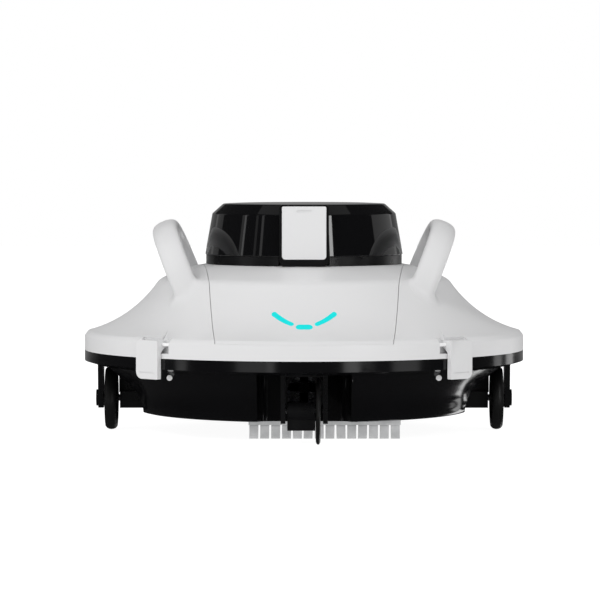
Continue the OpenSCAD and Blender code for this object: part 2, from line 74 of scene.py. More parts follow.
BODY_R = span("flange_ring")[1][0]
FLANGE_Z = span("flange_ring")[0][2]
SEAM_Z = span("flange_ring")[1][2]
FLOOR_Z = span("hull_shell")[0][2]
DOME_Z = span("dome_lid")[1][2]
SEAT_DIP = 1.5
SEAT_H = 6.7
MOUTH_Z = span("lid_seat")[0][2] + SEAT_DIP
SEAT_Z = MOUTH_Z + SEAT_H
WHEEL_R = (span("front_wheel")[1][2] - span("front_wheel")[0][2]) / 2
WALL = 3

# The deck: an upright band, a concave arc that flares, a bent shoulder and a shallow crown up to the mouth
BAND_Z = 87.5
FLARE_C = (226.2, 200.1)
FLARE_R = 113
FLARE_FROM, FLARE_TO = 15, 57
SHOULDER_BEND = (130.5, 139.6)
SHOULDER_TOP = (121, 142)
CROWN = (99, 150)
MOUTH_R = 80


# ---------------------------------------------------------------- materials

def material(name):
    """A new material, with its nodes, its links, its Principled shader and its object coordinates."""
    made = bpy.data.materials.new(name)
    made.use_nodes = True
    nodes, links = made.node_tree.nodes, made.node_tree.links
    shader = nodes["Principled BSDF"]
    coordinates = nodes.new("ShaderNodeTexCoord").outputs["Object"]
    return made, nodes, links, shader, coordinates


def noise(nodes, links, coordinates, scale, detail=3.0):
    """A noise texture's value, at a scale per metre."""
    texture = nodes.new("ShaderNodeTexNoise")
    texture.inputs["Scale"].default_value = scale
    texture.inputs["Detail"].default_value = detail
    links.new(coordinates, texture.inputs["Vector"])
    return texture.outputs["Fac"]


def spread(nodes, links, value, low, high):
    """The value mapped from the middle of a noise's range to low..high."""
    ranged = nodes.new("ShaderNodeMapRange")
    ranged.inputs["From Min"].default_value = 0.3
    ranged.inputs["From Max"].default_value = 0.7
    ranged.inputs["To Min"].default_value = low
    ranged.inputs["To Max"].default_value = high
    links.new(value, ranged.inputs["Value"])
    return ranged.outputs["Result"]


def tint(nodes, links, value, dark, light):
    """A colour that runs from dark to light as the value goes from 0.3 to 0.7."""
    ramp = nodes.new("ShaderNodeValToRGB")
    ramp.color_ramp.elements[0].position = 0.3
    ramp.color_ramp.elements[1].position = 0.7
    ramp.color_ramp.elements[0].color = (*dark, 1)
    ramp.color_ramp.elements[1].color = (*light, 1)
    links.new(value, ramp.inputs["Fac"])
    return ramp.outputs["Color"]


def bump(nodes, links, shader, value, strength, distance):
    """Bumps the shader's normal by a value."""
    node = nodes.new("ShaderNodeBump")
    node.inputs["Strength"].default_value = strength
    node.inputs["Distance"].default_value = distance
    links.new(value, node.inputs["Height"])
    links.new(node.outputs["Normal"], shader.inputs["Normal"])


def plastic(name, colour, rough, grain=1400, grain_depth=0.00002, specular=0.5, vary=0.03):
    """Moulded plastic: a fine grain, slightly uneven gloss and a faint drift of colour."""
    made, nodes, links, shader, where = material(name)
    drift = noise(nodes, links, where, 9)
    dark = [c * (1 - vary) for c in colour]
    light = [min(1, c * (1 + vary)) for c in colour]
    links.new(tint(nodes, links, drift, dark, light), shader.inputs["Base Color"])
    polish = noise(nodes, links, where, 60)
    links.new(spread(nodes, links, polish, rough * 0.85, rough * 1.15), shader.inputs["Roughness"])
    bump(nodes, links, shader, noise(nodes, links, where, grain, 2), 0.35, grain_depth)
    shader.inputs["Specular IOR Level"].default_value = specular
    return made


def metal(name, colour, rough):
    """Turned or drawn metal with fine marks."""
    made, nodes, links, shader, where = material(name)
    marks = noise(nodes, links, where, 900, 4)
    links.new(tint(nodes, links, marks, [c * 0.9 for c in colour], colour), shader.inputs["Base Color"])
    links.new(spread(nodes, links, marks, rough * 0.7, rough * 1.3), shader.inputs["Roughness"])
    bump(nodes, links, shader, marks, 0.2, 0.00002)
    shader.inputs["Metallic"].default_value = 1.0
    return made


def fin_rubber():
    """Milky, translucent rubber of the brush fins, with a faint painted glow that stands in for light shining
    through them.
    """
    made, nodes, links, shader, where = material("fin_rubber")
    drift = noise(nodes, links, where, 120)
    body = tint(nodes, links, drift, (0.42, 0.425, 0.43), (0.52, 0.525, 0.53))
    links.new(body, shader.inputs["Base Color"])
    links.new(spread(nodes, links, drift, 0.3, 0.42), shader.inputs["Roughness"])
    bump(nodes, links, shader, noise(nodes, links, where, 700), 0.3, 0.00003)
    # Painted light: a faint emission makes the fins glow as if lit through from behind, though they are no
    # lamp.
    glow = tint(nodes, links, drift, (0.8, 0.81, 0.82), (0.95, 0.95, 0.96))
    links.new(glow, shader.inputs["Emission Color"])
    shader.inputs["Emission Strength"].default_value = 0.16
    return made


def lit_guide():
    """The status light: a bright cyan diffuser, faintly mottled by its diodes."""
    made, nodes, links, shader, where = material("lit_guide")
    mottle = noise(nodes, links, where, 260)
    glow = tint(nodes, links, mottle, (0.002, 0.89, 0.88), (0.006, 0.95, 0.94))
    links.new(glow, shader.inputs["Emission Color"])
    shader.inputs["Base Color"].default_value = (0.01, 0.02, 0.02, 1)
    shader.inputs["Emission Strength"].default_value = 0.82
    shader.inputs["Roughness"].default_value = 0.4
    shader.inputs["Specular IOR Level"].default_value = 0.1
    return made


def woven_mesh():
    """The filter's fine screen: two crossed sets of threads."""
    made, nodes, links, shader, where = material("woven_mesh")
    threads = []
    for profile in ("X", "Z"):
        wave = nodes.new("ShaderNodeTexWave")
        wave.bands_direction = profile
        wave.inputs["Scale"].default_value = 320
        links.new(where, wave.inputs["Vector"])
        threads.append(wave.outputs["Fac"])
    crossed = nodes.new("ShaderNodeMath")
    crossed.operation = "MAXIMUM"
    links.new(threads[0], crossed.inputs[0])
    links.new(threads[1], crossed.inputs[1])
    links.new(tint(nodes, links, crossed.outputs[0], (0.2, 0.21, 0.23), (0.6, 0.62, 0.64)),
              shader.inputs["Base Color"])
    bump(nodes, links, shader, crossed.outputs[0], 0.6, 0.0002)
    shader.inputs["Roughness"].default_value = 0.7
    return made


SHELL_WHITE = plastic("shell_white", (0.735, 0.735, 0.74), 0.38, vary=0.006, specular=0.4)
LATCH_WHITE = plastic("latch_white", (0.765, 0.765, 0.77), 0.4, vary=0.003, specular=0.25)
DOME_BLACK = plastic("dome_black", (0.0035, 0.0035, 0.004), 0.045, 500, 0.000002)
HULL_BLACK = plastic("hull_black", (0.0035, 0.0035, 0.004), 0.13, 900, 0.000006, 0.4)
TRIM_BLACK = plastic("trim_black", (0.005, 0.005, 0.0055), 0.3, 1600, 0.00003, 0.35)
WHEEL_BLACK = plastic("wheel_black", (0.006, 0.006, 0.006), 0.4, 1800, 0.00006, 0.4)
SEAL_GREY = plastic("seal_grey", (0.03, 0.03, 0.032), 0.6, 1500, 0.00005)
BUTTON_GREY = plastic("button_grey", (0.3, 0.31, 0.33), 0.5, 1800, 0.00005)
INNER_GREY = plastic("inner_grey", (0.25, 0.26, 0.28), 0.45)
BOARD_GREEN = plastic("board_green", (0.02, 0.12, 0.05), 0.35, 800, 0.00008)
CELL_BLUE = plastic("cell_blue", (0.03, 0.08, 0.2), 0.3, 500, 0.00004)
STUD_WHITE = plastic("stud_white", (0.95, 0.95, 0.95), 0.2, vary=0.01)
STEEL = metal("steel", (0.62, 0.63, 0.65), 0.28)
FIN_RUBBER = fin_rubber()
LIT_GUIDE = lit_guide()
WOVEN_MESH = woven_mesh()

SLOT_LOOKS = {
    "shell_white": SHELL_WHITE, "dome_black": DOME_BLACK, "hull_black": HULL_BLACK,
    "trim_black": TRIM_BLACK, "wheel_black": WHEEL_BLACK, "latch_white": LATCH_WHITE,
    "brush_clear": FIN_RUBBER, "light_cyan": LIT_GUIDE, "steel": STEEL, "stud_white": STUD_WHITE,
    "grey_plastic": INNER_GREY, "seal_grey": SEAL_GREY, "mesh_grey": WOVEN_MESH,
    "board_green": BOARD_GREEN, "battery_blue": CELL_BLUE, "button_grey": BUTTON_GREY,
}
NODE_SLOT = {part["node"]: part["material_slot"] for part in frame["record"]["subparts"]}


# ---------------------------------------------------------------- mesh tools

def turned(axis, a, b, along):
    """A point from two coordinates across an axis and one along it."""
    if axis == "x":
        return (along, a, b)
    if axis == "y":
        return (a, along, b)
    return (a, b, along)


def mesh_object(name, verts, faces, look):
    """A smooth-shaded object from vertices in millimetres, with clean outward normals."""
    made = bmesh.new()
    points = [made.verts.new([c * MM for c in v]) for v in verts]
    for face in faces:
        made.faces.new([points[i] for i in face])
    bmesh.ops.remove_doubles(made, verts=made.verts, dist=1e-6)
    bmesh.ops.dissolve_degenerate(made, edges=made.edges, dist=1e-6)
    bmesh.ops.recalc_face_normals(made, faces=made.faces)
    mesh = bpy.data.meshes.new(name)
    made.to_mesh(mesh)
    made.free()
    mesh.shade_smooth()
    mesh.materials.append(look)
    thing = bpy.data.objects.new(name, mesh)
    bpy.context.scene.collection.objects.link(thing)
    return thing


def revolved(name, line, look, axis="z", centre=(0, 0), steps=192):
    """A closed outline of (radius, height) turned round an axis through a centre."""
    verts = []
    count = len(line)
    for k in range(steps):
        angle = 2 * math.pi * k / steps
        for radius, height in line:
            verts.append(turned(axis, centre[0] + radius * math.cos(angle),
                                centre[1] + radius * math.sin(angle), height))
    faces = []
    for k in range(steps):
        here, there = k * count, (k + 1) % steps * count
        for i in range(count):
            j = (i + 1) % count
            faces.append((here + i, here + j, there + j, there + i))
    faces = [f for f in faces if len({verts[i] for i in f}) > 2]
    return mesh_object(name, verts, faces, look)


def prism(name, outline, low, high, look, axis="z"):
    """An outline pulled along an axis from low to high."""
    count = len(outline)
    verts = [turned(axis, a, b, low) for a, b in outline] + [turned(axis, a, b, high) for a, b in outline]
    faces = [tuple(range(count)), tuple(range(count, 2 * count))]
    faces += [(i, (i + 1) % count, (i + 1) % count + count, i + count) for i in range(count)]
    return mesh_object(name, verts, faces, look)


def rod(name, radius, start, end, at, look, axis="x", steps=48):
    """A round bar along an axis, centred on a point across it."""
    return revolved(name, [(0, start), (radius, start), (radius, end), (0, end)], look, axis, at, steps)


def swept(name, rings, look):
    """Rings of points joined one to the next, and closed at both ends."""
    count = len(rings[0])
    verts = [p for ring in rings for p in ring]
    faces = [tuple(range(count)), tuple(range(len(verts) - count, len(verts)))]
    for k in range(len(rings) - 1):
        for i in range(count):
            j = (i + 1) % count
            faces.append((k * count + i, k * count + j, (k + 1) * count + j, (k + 1) * count + i))
    return mesh_object(name, verts, faces, look)


def smooth_line(points, steps=5):
    """A smooth curve through points."""
    result = [points[0]]
    for i in range(len(points) - 1):
        p0, p1 = points[max(i - 1, 0)], points[i]
        p2, p3 = points[i + 1], points[min(i + 2, len(points) - 1)]
        for k in range(1, steps + 1):
            t = k / steps
            result.append(tuple(0.5 * (2 * b + (c - a) * t + (2 * a - 5 * b + 4 * c - d) * t * t
                                       + (3 * b - a - 3 * c + d) * t ** 3)
                                for a, b, c, d in zip(p0, p1, p2, p3)))
    return result


def bezier(a, b, c, steps):
    """Points on a quadratic curve, without its two ends."""
    points = []
    for k in range(1, steps):
        t = k / steps
        points.append(tuple((1 - t) ** 2 * p + 2 * t * (1 - t) * q + t * t * r for p, q, r in zip(a, b, c)))
    return points


def filleted(points, radii, steps=6):
    """An outline with its corners rounded. radii is one number or one for each corner."""
    if not isinstance(radii, (list, tuple)):
        radii = [radii] * len(points)
    outline = []
    for i, corner in enumerate(points):
        corner = Vector(corner)
        back = Vector(points[i - 1]) - corner
        ahead = Vector(points[(i + 1) % len(points)]) - corner
        half = back.angle(ahead) / 2
        if radii[i] <= 0 or math.sin(half) > 0.9999:
            outline.append(tuple(corner))
            continue
        reach = radii[i] / math.tan(half)
        first = corner + back.normalized() * reach
        last = corner + ahead.normalized() * reach
        centre = corner + (back.normalized() + ahead.normalized()).normalized() * radii[i] / math.sin(half)
        for k in range(steps + 1):
            mix = first.lerp(last, k / steps) - centre
            outline.append(tuple(centre + mix.normalized() * radii[i]))
    return outline


def rectangle(x0, y0, x1, y1, radii=0.0, steps=6):
    """A rectangle's outline, from its low left corner anticlockwise."""
    return filleted([(x0, y0), (x1, y0), (x1, y1), (x0, y1)], radii, steps)


def applied(thing):
    """Makes an object's modifiers real."""
    graph = bpy.context.evaluated_depsgraph_get()
    graph.update()
    mesh = bpy.data.meshes.new_from_object(thing.evaluated_get(graph))
    old = thing.data
    thing.modifiers.clear()
    thing.data = mesh
    bpy.data.meshes.remove(old)
    mesh.name = thing.name
    return thing


def combined(thing, others, how="DIFFERENCE"):
    """Cuts, joins or intersects an object with others, which are used up."""
    for other in others:
        step = thing.modifiers.new("combine", "BOOLEAN")
        step.operation = how
        step.solver = "EXACT"
        step.object = other
    applied(thing)
    for other in others:
        bpy.data.objects.remove(other)
    return thing


def softened(thing, width, segments=3, angle=35):
    """Rounds the sharp edges of an object and evens its shading."""
    bevel = thing.modifiers.new("edges", "BEVEL")
    bevel.width = width * MM
    bevel.segments = segments
    bevel.limit_method = "ANGLE"
    bevel.angle_limit = math.radians(angle)
    bevel.use_clamp_overlap = True
    bevel.harden_normals = False
    shade = thing.modifiers.new("shading", "WEIGHTED_NORMAL")
    shade.keep_sharp = True
    return thing


def joined(name, things):
    """Several objects as one."""
    whole = bmesh.new()
    graph = bpy.context.evaluated_depsgraph_get()
    graph.update()
    look = things[0].data.materials[0]
    for thing in things:
        part = bpy.data.meshes.new_from_object(thing.evaluated_get(graph))
        part.transform(thing.matrix_world)
        whole.from_mesh(part)
        bpy.data.meshes.remove(part)
        bpy.data.objects.remove(thing)
    mesh = bpy.data.meshes.new(name)
    whole.to_mesh(mesh)
    whole.free()
    mesh.shade_smooth()
    mesh.materials.append(look)
    made = bpy.data.objects.new(name, mesh)
    bpy.context.scene.collection.objects.link(made)
    return made


def placed(thing, body, node):
    """Hands a finished piece to its body and the CAD node that it replaces."""
    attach(thing, body)
    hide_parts(node)


def spun(thing, degrees):
    """Turns an object's mesh round the vertical axis."""
    angle = math.radians(degrees)
    for vertex in thing.data.vertices:
        x, y = vertex.co.x, vertex.co.y
        vertex.co.x = x * math.cos(angle) - y * math.sin(angle)
        vertex.co.y = x * math.sin(angle) + y * math.cos(angle)
    return thing


def mirrored(thing):
    """Mirrors an object's mesh left to right."""
    for vertex in thing.data.vertices:
        vertex.co.x = -vertex.co.x
    thing.data.flip_normals()
    return thing


# ---------------------------------------------------------------- the deck and its hoods

def flare(angle, radius):
    """A point on the flare's arc, by its angle from straight down."""
    a = math.radians(angle)
    return (FLARE_C[0] - radius * math.sin(a), FLARE_C[1] - radius * math.cos(a))


def deck_outer(lift=0.0):
    """The deck's outer line, from the seam up to the mouth, raised by lift."""
    steps = 36
    band = [(BODY_R + lift, SEAM_Z), (BODY_R + lift, BAND_Z - 0.9), (BODY_R - 0.6 + lift, BAND_Z + 0.5)]
    arc = [flare(FLARE_FROM + (FLARE_TO - FLARE_FROM) * k / steps, FLARE_R - lift) for k in range(steps - 1)]
    top = (SHOULDER_TOP[0] + lift, SHOULDER_TOP[1] + lift)
    shoulder = bezier(arc[-1], (SHOULDER_BEND[0], SHOULDER_BEND[1] + lift), top, 8)
    crown = [(CROWN[0], CROWN[1] + lift), (MOUTH_R, MOUTH_Z + lift)]
    return band + arc + shoulder + [top] + crown


def deck_blank(name, lift=0.0, look=SHELL_WHITE):
    """The whole deck as one thin turned shell."""
    steps = 12
    inner = [(MOUTH_R, MOUTH_Z - WALL), (CROWN[0], CROWN[1] - WALL)]
    inner += [flare(FLARE_TO - (FLARE_TO - FLARE_FROM) * k / steps, FLARE_R + WALL) for k in range(steps + 1)]
    inner += [(BODY_R - WALL, BAND_Z - 1), (BODY_R - WALL, SEAM_Z)]
    return revolved(name, deck_outer(lift) + inner, look, steps=240)


def deck_height(radius):
    """The deck's height at a distance from the middle."""
    line = deck_outer()
    for (r0, z0), (r1, z1) in zip(line, line[1:]):
        if r1 <= radius <= r0 and r0 > r1:
            return z0 + (z1 - z0) * (radius - r0) / (r1 - r0)
    return SEAM_Z if radius > BODY_R else MOUTH_Z


# The hood panels: half the width and the distance from the middle, at the near end and the far end
HOOD_NEAR = (91.2, 12)
HOOD_FAR = (74.8, 206)
HOOD_LOW_Z = 88.2
PANEL_GAP = 0.45
PANEL_LOW_GAP = 0.08


def hood_block(by, side):
    """The upright wedge that cuts a hood panel, grown by a gap. side is -1 at the front and 1 at the rear."""
    near, far = HOOD_NEAR[0] + by, HOOD_FAR[0] + by
    near_y, far_y = side * (HOOD_NEAR[1] - by), side * HOOD_FAR[1]
    outline = [(-near, near_y), (-far, far_y), (far, far_y), (near, near_y)]
    return prism("hood_cutter", outline, HOOD_LOW_Z - min(by, PANEL_LOW_GAP), MOUTH_Z + 20, SHELL_WHITE)


# The clips and their pockets, made at the middle of the front and then turned to their places
CLIP_ANGLES = {"front_left": -42, "front_right": 42, "rear_right": 138, "rear_left": 222}
CLIP_HALF = 13
CLIP_PIVOT = (-197, 86.2)
CLIP_TOP = 89.8
CLIP_LOW = 56
CLIP_R = 3.6
CLIP_BORE_R = 1.65
POCKET_GAP = 0.4
POCKET_SIDE = 7.5
POCKET_BACK = -193
POCKET_Z = 78.4
GROOVE_LINE = [(-3.6, -171, 101.7), (20.9, -200, 86), (10, -196, 88)]


def at_clip(thing, name):
    """Takes a piece made for the front left clip from the middle of the front to one of the four places."""
    if name in ("front_right", "rear_left"):
        mirrored(thing)
    return spun(thing, CLIP_ANGLES[name])


def pocket_block(by):
    """The room of a clip's pocket, which is open to one side, grown by a wall."""
    side = CLIP_HALF + POCKET_GAP + by
    outline = rectangle(-side, -BODY_R - 9, side + POCKET_SIDE, POCKET_BACK + by, 0)
    return prism("pocket", outline, POCKET_Z - by, POCKET_Z + 40, SHELL_WHITE)


def groove_block():
    """The narrow groove that runs down the deck into one side of a clip's pocket."""
    verts = GROOVE_LINE + [(x, y, z + 20) for x, y, z in GROOVE_LINE]
    faces = [(0, 1, 2), (3, 4, 5), (0, 1, 4, 3), (1, 2, 5, 4), (2, 0, 3, 5)]
    return mesh_object("groove", verts, faces, SHELL_WHITE)


def deck_filling():
    """The deck as a filled solid, which trims what stands in it."""
    return revolved("filling", [(0, SEAM_Z)] + deck_outer() + [(0, MOUTH_Z)], SHELL_WHITE, steps=240)


# The power button and the charging socket on the rear hood, each in a raised ring
BUTTON_AT = (0, 120)
BUTTON_TOP = span("power_button")[1][2]
SOCKET_AT = (-42, 112)
SOCKET_TOP = 147
BOSS_BORE = 7
BOSS_FOOT_Z = 136


def boss(at, outer, high):
    """The raised ring round the button or the charging socket."""
    line = [(outer, BOSS_FOOT_Z), (outer, high), (BOSS_BORE, high), (BOSS_BORE, BOSS_FOOT_Z)]
    return revolved("boss", line, SHELL_WHITE, centre=at, steps=64)


def housing():
    """The white shell, with its clip pockets, and the two flush hood panels."""
    shell = deck_blank("housing_skin")
    walls = [at_clip(pocket_block(WALL), name) for name in CLIP_ANGLES]
    combined(shell, [combined(wall, [deck_filling()], "INTERSECT") for wall in walls], "UNION")
    cutters = [hood_block(PANEL_GAP, -1), hood_block(PANEL_GAP, 1)]
    cutters += [at_clip(pocket_block(0), name) for name in CLIP_ANGLES]
    cutters += [at_clip(groove_block(), name) for name in CLIP_ANGLES]
    combined(shell, cutters)
    softened(shell, 0.3)
    placed(shell, "housing", "housing_shell")

    front = combined(deck_blank("front_hood_skin"), [hood_block(0, -1)], "INTERSECT")
    half = FRAME_HALF + FRAME_GAP
    outline = rectangle(-half, FRAME_FRONT - FRAME_GAP, half, -70)
    rest = prism("rest", outline, FRAME_LOW - 0.3, 170, SHELL_WHITE)
    combined(front, light_cutters(0) + [rest])
    softened(front, 0.3)
    placed(front, "housing", "front_hood")

    rear = combined(deck_blank("rear_hood_skin"), [hood_block(0, 1)], "INTERSECT")
    places = (BUTTON_AT, SOCKET_AT)
    combined(rear, [rod("hole", BOSS_BORE + 1, 120, 160, at, SHELL_WHITE, "z", 64) for at in places])
    combined(rear, [boss(BUTTON_AT, 9.5, BUTTON_TOP - 1.5), boss(SOCKET_AT, 10.5, SOCKET_TOP)], "UNION")
    softened(rear, 0.3)
    placed(rear, "housing", "rear_hood")


# ---------------------------------------------------------------- status light

# The middle lines of the strokes, seen from above
LIGHT_MIDDLE = [(-4, -170), (4, -170)]
LIGHT_SIDE = [(11.2, -165.8), (18.6, -160.2), (26.2, -152.6)]
LIGHT_MIDDLE_W, LIGHT_SIDE_W = 6.8, 4.5
LIGHT_LIFT = 0.1
LIGHT_GAP = 0.05


def stroke_outline(points, width, steps=8):
    """A curved stroke with round ends, seen from above."""
    line = [Vector(p) for p in (smooth_line(points) if len(points) > 2 else points)]
    left, right = [], []
    for k, point in enumerate(line):
        along = (line[min(k + 1, len(line) - 1)] - line[max(k - 1, 0)]).normalized()
        side = Vector((-along.y, along.x)) * width / 2
        left.append(point + side)
        right.append(point - side)
    caps = []
    for centre, start in ((line[-1], right[-1]), (line[0], left[0])):
        reach = start - centre
        for k in range(1, steps):
            angle = math.pi * k / steps
            caps.append(centre + Vector((reach.x * math.cos(angle) - reach.y * math.sin(angle),
                                         reach.x * math.sin(angle) + reach.y * math.cos(angle))))
    return [tuple(p) for p in right + caps[:steps - 1] + left[::-1] + caps[steps - 1:]]


def light_cutters(grow):
    """Three upright blocks with the strokes' outlines, grown all round."""
    outlines = [stroke_outline(LIGHT_MIDDLE, LIGHT_MIDDLE_W + 2 * grow)]
    for side in (-1, 1):
        outlines.append(stroke_outline([(side * x, y) for x, y in LIGHT_SIDE], LIGHT_SIDE_W + 2 * grow))
    return [prism("stroke_cutter", outline, 85, 130, LIT_GUIDE) for outline in outlines]


def status_light():
    """The three lit strokes, which stand just proud of the hood."""
    strokes = []
    for cutter in light_cutters(-LIGHT_GAP):
        strokes.append(combined(deck_blank("stroke", LIGHT_LIFT, LIT_GUIDE), [cutter], "INTERSECT"))
    placed(softened(joined("status_light", strokes), 0.15, 2), "housing", "light_guide")


# ---------------------------------------------------------------- handles

# The middle line of the bar: half its length and its height, in a plane that leans outwards from the foot
HANDLE_FOOT = (104, 129)
HANDLE_LEAN = 22
HANDLE_HALF = (87.2, 59.2)
HANDLE_W = 23
HANDLE_T = 13.5
HANDLE_POWER = 2.6
HANDLE_ROUNDING = (0.82, 0.88)
HANDLE_FILLET = 7
HANDLE_STEPS = 80


def handle(name, side):
    """An arched, rounded bar that leans outwards and flows into the deck with a fillet round each foot."""
    lean = math.radians(HANDLE_LEAN)
    across = Vector((math.cos(lean), 0, -side * math.sin(lean)))
    upward = Vector((side * math.sin(lean), 0, math.cos(lean)))
    foot = Vector((side * HANDLE_FOOT[0], 0, HANDLE_FOOT[1]))
    section = []
    for j in range(40):
        c, s = math.cos(2 * math.pi * j / 40), math.sin(2 * math.pi * j / 40)
        section.append((math.copysign(abs(c) ** HANDLE_ROUNDING[0], c) * HANDLE_W / 2,
                        math.copysign(abs(s) ** HANDLE_ROUNDING[1], s) * HANDLE_T / 2))

    def point(u, v, along, w, t):
        """A section's point where the bar's middle line is at (u, v) and runs along a direction."""
        along = along.normalized()
        return foot + Vector((0, u + along.y * t, 0)) + upward * (v - along.x * t) + across * w

    def leg(end, v, w, t):
        """A section's point on one leg, at a height along it."""
        def reach(height):
            part = 1 - (max(height, 0) / HANDLE_HALF[1]) ** HANDLE_POWER
            return HANDLE_HALF[0] * part ** (1 / HANDLE_POWER)
        slope = reach(v + 0.5) - reach(v - 0.5)
        return point(end * reach(v), v, Vector((slope, end)), w, t)

    def landing(end, w, t):
        """The height along the leg at which a section's point meets the deck."""
        v, lowest, step = 24.0, -40, 0.1
        while v > lowest:
            place = leg(end, v, w, t)
            if place.z <= deck_height(math.hypot(place.x, place.y)):
                return v
            v -= step
        return v

    def skirt(end):
        """The rings from a leg down into the deck, highest first, and the height of the highest landing."""
        columns = []
        for w, t in section:
            low = landing(end, w, t)
            top, corner = leg(end, low + HANDLE_FILLET, w, t), leg(end, low, w, t)
            out = (Vector((w * across.x, end * t, 0))).normalized()
            toe = corner + out * HANDLE_FILLET
            toe.z = deck_height(math.hypot(toe.x, toe.y))
            sunk = toe + out * 0.6 - Vector((0, 0, 1.2))
            columns.append([tuple(top)] + bezier(top, corner, toe, 8) + [tuple(toe), tuple(sunk)])
        return [list(ring) for ring in zip(*columns)], max(landing(end, w, t) for w, t in section)

    def arch(angle):
        """A point on the bar's middle line."""
        c, s = math.cos(angle), math.sin(angle)
        return (math.copysign(abs(c) ** (2 / HANDLE_POWER), c) * HANDLE_HALF[0],
                s ** (2 / HANDLE_POWER) * HANDLE_HALF[1])

    first, low_first = skirt(1)
    last, low_last = skirt(-1)
    start = max(low_first, low_last) + HANDLE_FILLET + 1
    rings = first[::-1]
    for k in range(1, HANDLE_STEPS):
        angle = math.pi * k / HANDLE_STEPS
        u, v = arch(angle)
        if v < start:
            continue
        next_u, next_v = arch(angle + 0.01)
        along = Vector((next_u - u, next_v - v))
        rings.append([tuple(point(u, v, along, w, t)) for w, t in section])
    return swept(name, rings + last, SHELL_WHITE)


def handles():
    """The left and the right handle."""
    for side, name in ((-1, "left_handle"), (1, "right_handle")):
        placed(handle(name + "_skin", side), "housing", name)


# ---------------------------------------------------------------- dome, latch and seat

FRAME_HALF = span("latch_frame")[1][0]
FRAME_FRONT = span("latch_frame")[0][1]
FRAME_BACK = span("latch_frame")[1][1]
FRAME_LOW = span("latch_frame")[0][2]
FRAME_HIGH = span("latch_frame")[1][2]
FRAME_GAP = 0.6
LATCH_HALF = span("lid_latch")[1][0]
LATCH_LOW = span("lid_latch")[0][2]
LATCH_HIGH = LATCH_LOW + 47
LATCH_FRONT = span("lid_latch")[0][1]
LATCH_PIVOT = (-84.5, 201.5)
HINGE_Y, HINGE_Z = 95, 161
KNUCKLE_R = 4
ARM_HALF = 13.6
SEAT_R = 89.3
DOME_FOOT_R = 91.4
DOME_SHOULDER = (83.6, 197.5)
DOME_EDGE_R = 73.6


def dome_at(z):
    """The dome's outer radius at a height below its shoulder."""
    return DOME_FOOT_R - (DOME_FOOT_R - DOME_SHOULDER[0]) * (z - MOUTH_Z) / (DOME_SHOULDER[1] - MOUTH_Z)


def dome():
    """The glossy lid, with its hinge arm and the niche that the latch frame fills."""
    low = SEAT_Z + 0.3
    foot = dome_at(low)
    outer = [(0, DOME_Z), (60, DOME_Z), (DOME_EDGE_R, DOME_Z - 0.6), DOME_SHOULDER, (foot, low)]
    inner = [(foot - WALL, low), (80.5, 196), (72.2, 203.4), (0, DOME_Z - WALL)]
    line = filleted(outer + inner, [0, 20, 3.5, 2.2, 0.6, 0, 0, 0, 0])
    lid = revolved("dome_skin", line, DOME_BLACK, steps=240)
    niche = rectangle(-FRAME_HALF, -110, FRAME_HALF, FRAME_BACK)
    combined(lid, [prism("niche", niche, MOUTH_Z - 2, 220, DOME_BLACK)])
    hinge = (HINGE_Y, HINGE_Z)
    root = [(87.3, low + 0.3), (HINGE_Y, low + 0.3), (HINGE_Y, HINGE_Z + KNUCKLE_R), (86.6, HINGE_Z + 6)]
    arm = prism("arm", root, -ARM_HALF, ARM_HALF, DOME_BLACK, "x")
    combined(lid, [arm, rod("barrel", KNUCKLE_R, -ARM_HALF, ARM_HALF, hinge, DOME_BLACK)], "UNION")
    combined(lid, [rod("bore", 2.05, -20, 20, hinge, DOME_BLACK)])
    softened(lid, 0.35, 2, 40)
    placed(lid, "lid", "dome_lid")


def latch():
    """The black frame and the white plate that hangs in it."""
    foot, dip = FRAME_HALF - 5, 0.01
    outline = filleted([(-FRAME_HALF, FRAME_LOW), (-foot, FRAME_LOW - dip), (foot, FRAME_LOW),
                        (FRAME_HALF, FRAME_LOW), (FRAME_HALF, FRAME_HIGH), (-FRAME_HALF, FRAME_HIGH)],
                       [4.5, 0, 0, 4.5, 2.5, 2.5], 8)
    body = prism("latch_frame_skin", outline, FRAME_FRONT, FRAME_BACK, TRIM_BLACK, "y")
    half = LATCH_HALF + 0.35
    outline = rectangle(-half, LATCH_LOW - 0.6, half, DOME_Z + 4, [3.2, 3.2, 0, 0])
    combined(body, [prism("hollow", outline, FRAME_FRONT - 2, FRAME_BACK - 3.5, TRIM_BLACK, "y")])
    softened(body, 0.5)
    placed(body, "lid", "latch_frame")

    outline = rectangle(-LATCH_HALF, LATCH_LOW, LATCH_HALF, LATCH_HIGH, [3, 3, 1.2, 1.2], 8)
    face = prism("latch_skin", outline, LATCH_FRONT, LATCH_FRONT + 3.7, LATCH_WHITE, "y")
    mark_z = LATCH_HIGH - 4.4
    mark = rectangle(-6.8, mark_z - 1.1, 6.8, mark_z + 1.1, 1, 4)
    combined(face, [prism("mark", mark, LATCH_FRONT - 1, LATCH_FRONT + 0.9, LATCH_WHITE, "y")])
    barrel = rod("barrel", 2.8, -18, 18, LATCH_PIVOT, LATCH_WHITE)
    outline = rectangle(-87.4, LATCH_PIVOT[1] - 2.7, LATCH_PIVOT[0], LATCH_PIVOT[1] + 2.7)
    web = prism("web", outline, -18, 18, LATCH_WHITE, "x")
    tab = prism("tab", rectangle(-88, LATCH_LOW + 3, -82, LATCH_LOW + 8, 1), -7, 7, LATCH_WHITE, "x")
    combined(face, [barrel, web, tab], "UNION")
    combined(face, [rod("bore", 1.55, -30, 30, LATCH_PIVOT, LATCH_WHITE)])
    softened(face, 0.5)
    placed(face, "latch", "lid_latch")


